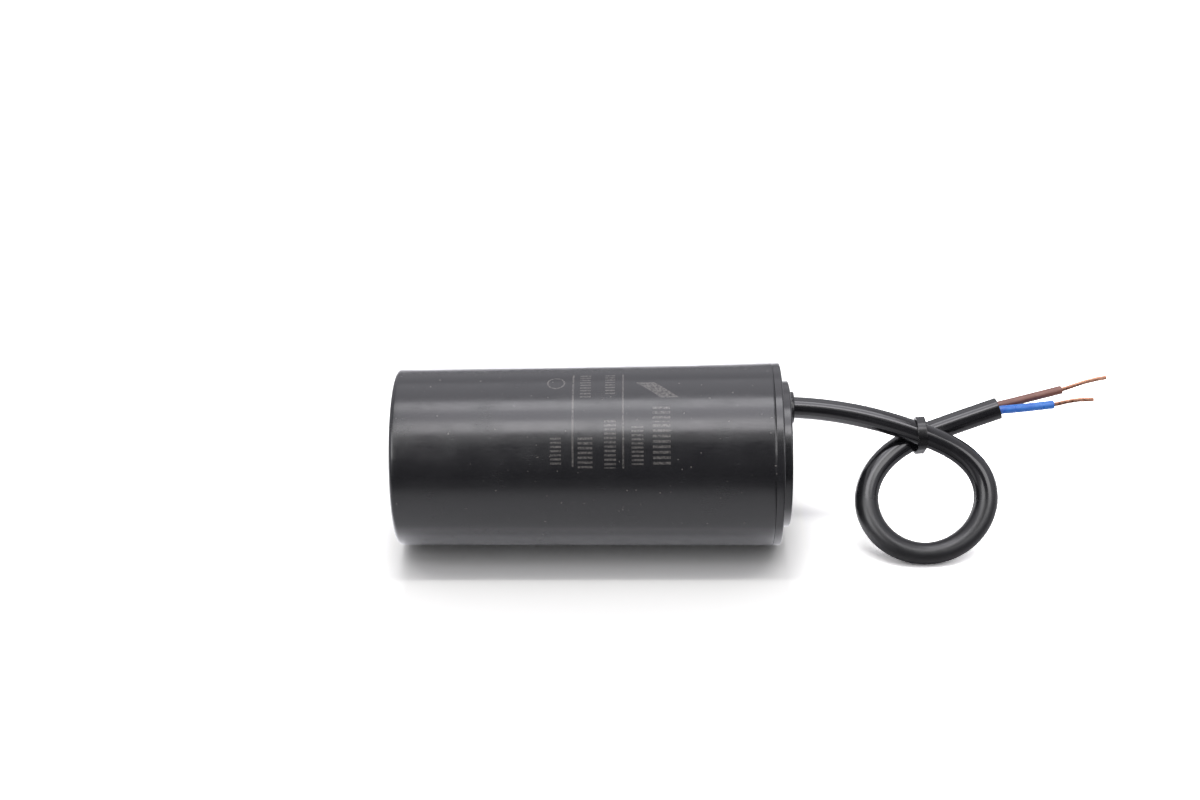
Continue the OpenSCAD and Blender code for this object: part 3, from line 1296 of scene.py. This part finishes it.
    def build_insulation(self, colour: CoreColour, inner: list[Vector]) -> bpy.types.Object:
        """Builds one core's insulation.

        Args:
            colour: Which core.
            inner: Its points inside the case, before the sheath.

        Returns:
            The insulation.
        """
        bm = bmesh.new()
        route = inner + self.core_route(colour, from_start=True)
        bore = self.copper_d / self.core_d
        sweep(
            bm,
            frames_along(route),
            self.core_d / 2,
            self.core_sides,
            start=(Lip(0, bore),),
            end=(Lip(0.06 * MM, 0.9), Lip(0.06 * MM, 0.62), Lip(-0.8 * MM, bore)),
        )
        return to_object(f"{colour.value}_core_insulation", bm)

    def build_copper(self, colour: CoreColour, inner: list[Vector]) -> bpy.types.Object:
        """Builds one core's copper, a plain rod where it is covered and twisted strands past it.

        Args:
            colour: Which core.
            inner: Its points inside the case, before the sheath.

        Returns:
            The copper.
        """
        bm = bmesh.new()
        covered = inner + self.core_route(colour, from_start=True)
        sweep(bm, frames_along(covered[:-2]), self.copper_d / 2 * 0.96, self.copper_sides)
        bare = frames_along(self.copper_end(colour))
        strand = self.strand_d / 2
        outer_orbit = 0.95 * self.copper_d / 2 - strand / 2
        for count, orbit in ((1, 0.0), (5, self.inner_orbit), (10, outer_orbit)):
            for k in range(count):
                self.add_strand(bm, bare, orbit, math.tau * k / count, strand)
        return to_object(f"{colour.value}_core_copper", bm)

    def add_strand(
        self,
        bm: bmesh.types.BMesh,
        frames: list[Matrix],
        orbit: float,
        phase: float,
        radius: float,
    ) -> None:
        """Adds one strand that winds round the bundle's centre line. No two end quite alike.

        Args:
            bm: The mesh that takes it.
            frames: The bundle's frames.
            orbit: The strand's distance from the centre line.
            phase: Where round the bundle it starts.
            radius: The strand's own radius.
        """
        travelled = 0.0
        points = []
        for i, frame in enumerate(frames):
            if i:
                travelled += (frame.translation - frames[i - 1].translation).length
            angle = phase + math.tau * travelled / self.strand_lay
            loosened = 1 + self.strand_splay * (i / len(frames)) ** 2 * math.sin(3 * phase + 1)
            offset = Vector((math.cos(angle), math.sin(angle), 0)) * orbit * loosened
            points.append(frame @ offset)
        short = int(abs(math.sin(5 * phase)) * 3)
        sweep(bm, frames_along(points[: len(points) - short]), radius, self.strand_sides)

    def inner_routes(
        self, inside: Inside, axis_z: float
    ) -> dict[CoreColour, tuple[list[Vector], list[Vector]]]:
        """Makes the cores' routes inside the case, up to where the sheath starts.

        Args:
            inside: What the cores run to.
            axis_z: Height of the case's axis.

        Returns:
            For each core, the points that its insulation and its copper follow.
        """
        near_zinc, far_zinc = inside.near_zinc, inside.far_zinc
        start = frames_along(self.route)[0]
        brown = start.translation + self.core_offset(start, CoreColour.BROWN)
        blue = start.translation + self.core_offset(start, CoreColour.BLUE)
        brown_strip = Vector((near_zinc + self.solder_height + self.strip, brown.y, brown.z))
        brown_foot = Vector((near_zinc + self.copper_d / 2, brown.y, brown.z))
        wire_x = far_zinc - self.copper_d / 2 - 0.05 * MM
        blue_turn = Vector((blue.x - self.core_d / 2, blue.y, blue.z))
        blue_axis = Vector((near_zinc + self.core_d, 0, axis_z))
        blue_strip = Vector((far_zinc + self.strip, 0, axis_z))
        blue_corner = Vector((wire_x, 0, axis_z))
        blue_foot = Vector((wire_x, 0, axis_z - self.joint_drop))
        return {
            CoreColour.BROWN: ([brown_strip], [brown_foot, brown_strip]),
            CoreColour.BLUE: (
                [blue_strip, blue_axis, blue_turn],
                [blue_foot, blue_corner, blue_strip, blue_axis, blue_turn],
            ),
        }


@dataclass
class TieMoulding:
    """The small cable tie: a strap with its ratchet head, drawn round both strands."""

    lead: Lead
    width: float = 2.25 * MM
    thick: float = 0.8 * MM
    half_depth: float = 5.45 * MM
    half_height: float = 3.4 * MM
    tilt_deg: float = 3.0
    centre_mm: tuple[float, float, float] = (31, -4.15, -5.85)
    head: tuple[float, float, float] = (3.0 * MM, 4.6 * MM, 4.2 * MM)
    strap_edge: float = 0.18 * MM
    head_edge: float = 0.35 * MM
    corner_steps: int = 16

    def place(self) -> Matrix:
        """Finds the tie's own frame.

        Returns:
            What carries its depth, its height and its width onto the crossing.
        """
        lean, tilt = math.radians(self.lead.lean_deg), math.radians(self.tilt_deg)
        centre = self.lead.exit_point + Vector(self.centre_mm) * MM
        upright = Matrix.Rotation(lean, 4, "X") @ Matrix.Rotation(tilt, 4, "Z")
        return Matrix.Translation(centre) @ upright @ Matrix.Rotation(math.pi / 2, 4, "Y")

    def build(self, materials: Materials) -> bpy.types.Object:
        """Builds and dresses the tie.

        Args:
            materials: Every material by its slot.

        Returns:
            The tie.
        """
        bm = bmesh.new()
        verts = [bm.verts.new(p - Vector((0, 0, self.width / 2))) for p in self.outline()]
        ring = [bm.edges.new((a, b)) for a, b in zip(verts, verts[1:] + verts[:1])]
        walls = bmesh.ops.extrude_edge_only(bm, edges=ring)["geom"]
        far_rim = [g for g in walls if isinstance(g, bmesh.types.BMVert)]
        bmesh.ops.translate(bm, vec=(0, 0, self.width), verts=far_rim)
        bmesh.ops.recalc_face_normals(bm, faces=bm.faces)
        bmesh.ops.solidify(bm, geom=list(bm.faces), thickness=self.thick)
        bmesh.ops.recalc_face_normals(bm, faces=bm.faces)
        rims = [e for e in bm.edges if e.calc_face_angle(0) > math.radians(60)]
        bmesh.ops.bevel(
            bm,
            geom=rims,
            offset=self.strap_edge,
            affect="EDGES",
            segments=2,
            profile=0.5,
            material=-1,
        )
        self.add_head(bm)
        bmesh.ops.transform(bm, matrix=self.place(), verts=bm.verts)
        tie = to_object("tie_moulding", bm)
        keep_faces_true(tie)
        return fit(tie, materials, "tie_nylon", "cable_tie")

    def outline(self) -> list[Vector]:
        """Draws the strap's outer line, flat above and below both strands and round at its ends.

        Returns:
            Its points, going once round.
        """
        radius = self.half_height
        points = []
        for quarter, side in enumerate((1, -1, -1, 1)):
            centre = Vector((side * (self.half_depth - radius), 0, 0))
            # A quarter that goes on round the same end leaves out the point that they share.
            for k in range(1 if quarter in (0, 2) else 0, self.corner_steps + 1):
                turn = math.radians(90 * (quarter + k / self.corner_steps))
                spoke = Vector((math.cos(turn), math.sin(turn), 0))
                points.append(centre + spoke * (radius + self.thick))
        return points

    def add_head(self, bm: bmesh.types.BMesh) -> None:
        """Adds the ratchet head on the back of the strap.

        Args:
            bm: The mesh that holds the strap.
        """
        deep, long, wide = self.head
        seat = Matrix.Translation((self.half_depth + deep / 2, 0, 0))
        size = Matrix.Diagonal((deep, long, wide, 1))
        box = bmesh.ops.create_cube(bm, size=1, matrix=seat @ size)["verts"]
        bmesh.ops.bevel(
            bm,
            geom=list({e for v in box for e in v.link_edges}),
            offset=self.head_edge,
            affect="EDGES",
            segments=3,
            profile=0.5,
            material=-1,
        )


# ---- Studio ------------------------------------------------------------------


# A cool white, for the room and the broad panels: it greys the black plastic without warming it.
COOL = (0.99, 0.98, 1.05)


@dataclass(frozen=True)
class Softbox:
    """A rectangular lamp that faces the object.

    Its elevation goes from the back (0) over the top (90) to the front (180), and its spread is
    how much of that turn it fills. It reaches `half_length` to both sides along X, hangs `aside`
    along X, and can be kept out of reflections or off matt surfaces.
    """

    name: str
    elevation_deg: float
    spread_deg: float
    half_length: float
    radiance: float
    distance: float = 1.4
    in_gloss: bool = True
    on_matt: bool = True
    aside: float = 0.0
    tint: tuple[float, float, float] = (1.0, 1.0, 1.0)

    def build(self, centre: Vector) -> None:
        """Hangs the lamp.

        Args:
            centre: What it faces.
        """
        lamp = bpy.data.lights.new(self.name, "AREA")
        lamp.shape = "RECTANGLE"
        lamp.size = 2 * self.half_length
        lamp.size_y = 2 * self.distance * math.tan(math.radians(self.spread_deg / 2))
        lamp.energy = math.pi * self.radiance * lamp.size * lamp.size_y
        lamp.color = self.tint
        angle = math.radians(self.elevation_deg)
        away = Vector((0, math.cos(angle), math.sin(angle)))
        piece = bpy.data.objects.new(self.name, lamp)
        bpy.context.scene.collection.objects.link(piece)
        along = Vector((1, 0, 0))
        turn = Matrix((along, along.cross(-away), away)).transposed()
        spot = centre + away * self.distance + along * self.aside
        piece.matrix_world = Matrix.Translation(spot) @ turn.to_4x4()
        piece.visible_glossy = self.in_gloss
        piece.visible_diffuse = self.on_matt


@dataclass
class Studio:
    """Camera, floor, world and lamps."""

    eye: tuple[float, float, float] = (0.0120, -0.4067, 0.2574)
    pitch_deg: float = 28.34
    yaw_deg: float = -1.537
    roll_deg: float = -1.20
    lens_mm: float = 56.93
    sensor_mm: float = 36.0
    lamps_x: float = 0.03
    floor_radius: float = 6.0
    floor_colour: tuple[float, float, float] = (0.80, 0.80, 0.765)
    # Painted reflection: gloss sees the floor at levels painted on it rather than as it is lit.
    # They run from dark towards the camera up to pale under and behind the case. Painted light
    # lifts the reflected shadow just in front of the case, and painted shade darkens the floor
    # where the lead lies.
    painted_reflection_depth: Ramp = Ramp(-0.16, -0.022, 0.12, 0.84)
    painted_reflection_close: Ramp = Ramp(-0.025, -0.015, 0.0, 1.5)
    painted_reflection_lead: Ramp = Ramp(0.046, 0.066, 1.0, 0.22)
    # Painted light: the camera sees the paper's colour raised up to 2.5 times past both ends of the
    # case, which washes out the shadows of the cover and the loop there.
    painted_light_beside: Ramp = Ramp(0.046, 0.08, 1.0, 2.5)
    # The room: bright behind and at the sides, dim in front and near the floor.
    room_behind: Ramp = Ramp(-0.35, 0.45, 0.12, 1.0)
    room_beside: Ramp = Ramp(0.14, 0.45, 0.0, 0.95)
    room_skirting: Ramp = Ramp(0.05, 0.38, 0.4, 1.0)
    lamps: tuple[Softbox, ...] = (
        Softbox("key", 92, 4, 0.9, 17.0, in_gloss=False),
        Softbox("strip_over", 84, 12, 0.45, 2.1, on_matt=False),
        Softbox("strip_front", 113, 14, 0.45, 3.2, on_matt=False, tint=(1.0, 0.98, 0.98)),
        Softbox("panel_back", 60, 36, 0.4, 0.8, distance=1.7, tint=COOL),
        Softbox("panel_over", 98, 44, 0.4, 3.0, distance=1.7, tint=COOL),
        Softbox("panel_front", 126, 16, 0.4, 0.9, distance=1.7),
        Softbox("side_left", 134, 38, 0.54, 3.2, aside=-0.92, on_matt=False),
        Softbox("side_right", 132, 36, 0.5, 3.2, aside=0.95, on_matt=False),
    )

    def add_camera(self) -> None:
        """Sets the camera in front of the case, looking down on it and turned a little left."""
        pitch, yaw = math.radians(self.pitch_deg), math.radians(self.yaw_deg)
        roll = math.radians(self.roll_deg)
        level = Vector((math.sin(yaw), math.cos(yaw), 0))
        ahead = level * math.cos(pitch) - Vector((0, 0, math.sin(pitch)))
        right = Vector((math.cos(yaw), -math.sin(yaw), 0))
        up = right.cross(ahead)
        right, up = (
            math.cos(roll) * right + math.sin(roll) * up,
            -math.sin(roll) * right + math.cos(roll) * up,
        )
        data = bpy.data.cameras.new("camera")
        data.lens = self.lens_mm
        data.sensor_width = self.sensor_mm
        data.clip_start, data.clip_end = 0.01, 50
        camera = bpy.data.objects.new("camera", data)
        bpy.context.scene.collection.objects.link(camera)
        turn = Matrix((right, up, -ahead)).transposed()
        camera.matrix_world = Matrix.Translation(self.eye) @ turn.to_4x4()
        bpy.context.scene.camera = camera

    def add_floor(self) -> None:
        """Lays white paper. The camera sees it lit, with painted light past both ends of the case,
        and gloss sees it at painted reflection levels of its own.
        """
        bm = bmesh.new()
        bmesh.ops.create_circle(bm, cap_ends=True, segments=96, radius=self.floor_radius)
        piece = to_object("studio_floor", bm)
        material = bpy.data.materials.new("floor_paper")
        material.use_nodes = True
        tree = material.node_tree
        tree.nodes.clear()
        ground = add_node(tree, "ShaderNodeTexCoord").outputs["Object"]
        spot = add_node(tree, "ShaderNodeSeparateXYZ", {"Vector": ground}).outputs
        # Painted reflection: the level that gloss sees, painted by place on the floor.
        depth = add_node(tree, "ShaderNodeMapRange", self.painted_reflection_depth.along(spot["Y"]))
        close = add_node(tree, "ShaderNodeMapRange", self.painted_reflection_close.along(spot["Y"]))
        both = {0: depth.outputs["Result"], 1: close.outputs["Result"]}
        summed = add_node(tree, "ShaderNodeMath", both, operation="ADD").outputs[0]
        lead_side = add_node(tree, "ShaderNodeMapRange", self.painted_reflection_lead.along(spot["X"]))
        dimmed = {0: summed, 1: lead_side.outputs["Result"]}
        painted_reflection = add_node(tree, "ShaderNodeMath", dimmed, operation="MULTIPLY").outputs[0]
        # Painted light beside the case, for camera rays only: it raises the floor's colour, and the
        # shadows there with it.
        away = add_node(tree, "ShaderNodeMath", {0: spot["X"]}, operation="ABSOLUTE").outputs[0]
        bright = add_node(tree, "ShaderNodeMapRange", self.painted_light_beside.along(away))
        lifted = {0: self.floor_colour, "Scale": bright.outputs["Result"]}
        seen = add_node(tree, "ShaderNodeVectorMath", lifted, operation="SCALE").outputs[0]
        path = add_node(tree, "ShaderNodeLightPath").outputs
        plain = {0: path["Is Camera Ray"], 6: (*self.floor_colour, 1), 7: seen}
        lit = add_node(tree, "ShaderNodeMix", plain, data_type="RGBA").outputs[2]
        # Gloss sees the painted reflection level, and the other rays see the paper.
        shown = {0: path["Is Glossy Ray"], 6: lit, 7: painted_reflection}
        level = add_node(tree, "ShaderNodeMix", shown, data_type="RGBA").outputs[2]
        paper = add_node(tree, "ShaderNodeBsdfDiffuse", {"Color": level})
        add_node(tree, "ShaderNodeOutputMaterial", {"Surface": paper.outputs[0]})
        piece.data.materials.append(material)

    def set_view(self) -> None:
        """Shows colours as they are written."""
        bpy.context.scene.view_settings.view_transform = "Standard"

    def add_world(self) -> None:
        """Surrounds the object with white for the camera, and with a dimmer room for the rest."""
        world = bpy.data.worlds.new("room")
        bpy.context.scene.world = world
        world.use_nodes = True
        tree = world.node_tree
        tree.nodes.clear()
        way = add_node(tree, "ShaderNodeTexCoord").outputs["Generated"]
        parts = add_node(tree, "ShaderNodeSeparateXYZ", {"Vector": way}).outputs
        behind = add_node(tree, "ShaderNodeMapRange", self.room_behind.along(parts["Y"]))
        across = add_node(tree, "ShaderNodeMath", {0: parts["X"]}, operation="ABSOLUTE").outputs[0]
        beside = add_node(tree, "ShaderNodeMapRange", self.room_beside.along(across))
        walls = {0: behind.outputs["Result"], 1: beside.outputs["Result"]}
        brightest = add_node(tree, "ShaderNodeMath", walls, operation="MAXIMUM").outputs[0]
        skirting = add_node(tree, "ShaderNodeMapRange", self.room_skirting.along(parts["Z"]))
        dimmed = {0: brightest, 1: skirting.outputs["Result"]}
        room = add_node(tree, "ShaderNodeMath", dimmed, operation="MULTIPLY").outputs[0]
        watched = add_node(tree, "ShaderNodeLightPath").outputs["Is Camera Ray"]
        level = add_node(tree, "ShaderNodeMath", {0: room, 1: watched}, operation="MAXIMUM")
        whites = {0: watched, 6: (*COOL, 1), 7: (1, 1, 1, 1)}
        tint = add_node(tree, "ShaderNodeMix", whites, data_type="RGBA").outputs[2]
        sky = add_node(
            tree, "ShaderNodeBackground", {"Color": tint, "Strength": level.outputs[0]}
        )
        add_node(tree, "ShaderNodeOutputWorld", {"Surface": sky.outputs[0]})

    def add_lamps(self, height: float) -> None:
        """Hangs every lamp round a point on the case's axis, near the lead.

        Args:
            height: Height of the axis.
        """
        for lamp in self.lamps:
            lamp.build(Vector((self.lamps_x, 0, height)))


# ---- Assembly ----------------------------------------------------------------

# The case's print: two ruled lines, a ring, rows of ticks and one slanted field.
PRINT = (
    InkBlock(-5.15, 0.45, -0.3, 26.4),
    InkBlock(6.8, 0.4, -0.3, 26.8),
    InkBlock(-9.3, 4.4, 1.1, 5.5, line=0.4, ring=True),
    InkBlock(-9.2, 2.6, 19.3, 25.8, pitch=1.0),
    InkBlock(-2.2, 2.6, 0.0, 8.6, pitch=1.0),
    InkBlock(-2.2, 3.5, 19.3, 26.7, pitch=1.15),
    InkBlock(3.7, 2.4, 0.0, 7.9, pitch=1.0),
    InkBlock(3.7, 2.8, 15.0, 26.8, pitch=1.05),
    InkBlock(15.0, 4.4, 3.4, 8.8, slant=-1.1),
    InkBlock(10.2, 2.8, 16.6, 26.0, pitch=1.0),
    InkBlock(15.9, 4.2, 11.5, 15.6, pitch=1.3),
    InkBlock(15.9, 4.2, 16.2, 26.6, pitch=1.3),
)


def finishes(axis_z: float) -> dict[str, Finish]:
    """Lists every finish by its slot.

    Args:
        axis_z: Height of the case's axis.

    Returns:
        The finishes.
    """
    loop_z = axis_z - 4 * MM
    every = [
        # Black ABS from a polished mould, printed: a satin skin that holds long soft highlights.
        PrintedPlastic("case_plastic", "1c1c1e", 0.20, ior=1.55, axis_z=axis_z, blocks=PRINT),
        MouldedPlastic("cover_plastic", "1e1e20", 0.18, ior=1.55),
        # Filled epoxy, poured: dark brown and smooth, with a slow ripple where it set.
        CastOrSprayed("resin", "35302a", 0.45, ior=1.55, other="2a2620", grain_mm=3.0, grain_um=20),
        # Zinc on polypropylene film, wound: silver, ringed on its ends.
        WoundFilm(
            "metallised_film", "c4c6ca", 0.28, metallic=0.85, other="9fa2a8", axis_z=axis_z
        ),
        # Clear polypropylene film in many turns: straw yellow and glossy.
        WoundFilm("wrap_film", "e6ddb8", 0.22, other="d8cc9e", turn_mm=0.3, axis_z=axis_z),
        # Polypropylene tube, extruded: off-white and waxy.
        CastOrSprayed("core_plastic", "e4e3dc", 0.4, other="d8d6cc", grain_mm=1.5, grain_um=5),
        # Zinc, arc sprayed: grey, matt and gritty.
        CastOrSprayed(
            "zinc", "8f9297", 0.7, metallic=1.0, other="6f7276", grain_mm=0.3, grain_um=60
        ),
        # Tin solder, hand laid: bright, with slow dents.
        CastOrSprayed(
            "solder", "b9bcc0", 0.25, metallic=1.0, other="989ba0", grain_mm=0.8, grain_um=10
        ),
        # The sheath: glossy where it runs straight, duller where the loop stretches it.
        SoftPvc("black_pvc", "161618", 0.13, ior=1.56, dulled=0.2, bend_z=loop_z),
        # The cores: clear, strong colours with paler creases.
        CoreInsulation("brown_pvc", "694034", 0.33, pale="8a5f52"),
        CoreInsulation("blue_pvc", "1d5ab2", 0.28, pale="3f82cc"),
        # The strands: pink copper, brown where it has tarnished.
        BareCopper("copper", "d6a890", 0.3, metallic=1.0, tarnish="96674f"),
        # The tie: a flatter, harder black than the sheath beside it.
        MouldedNylon("tie_nylon", "131314", 0.24),
    ]
    return {finish.slot: finish for finish in every}


def main() -> None:
    """Builds the studio, the lead and the shell, and dresses every piece."""
    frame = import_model()
    studio = Studio()
    studio.add_camera()
    studio.set_view()

    shell = CaseShell()
    cover = CoverAssembly(shell)
    inside = Inside()
    exit_point = cover.exit_point
    lead = Lead(exit_point)
    materials = {slot: finish.material() for slot, finish in finishes(shell.axis_z).items()}

    sheath, with_sheath = lead.build(materials, inside, shell.axis_z)
    with_sheath.append(TieMoulding(lead).build(materials))
    shell.build(materials)
    cover.build(materials)
    inside.finish(frame, materials)
    lead.length

    studio.add_floor()
    studio.add_world()
    studio.add_lamps(shell.axis_z)


if __name__ == "__main__":
    logging.basicConfig(level=logging.INFO, format="%(name)s: %(message)s")
    main()
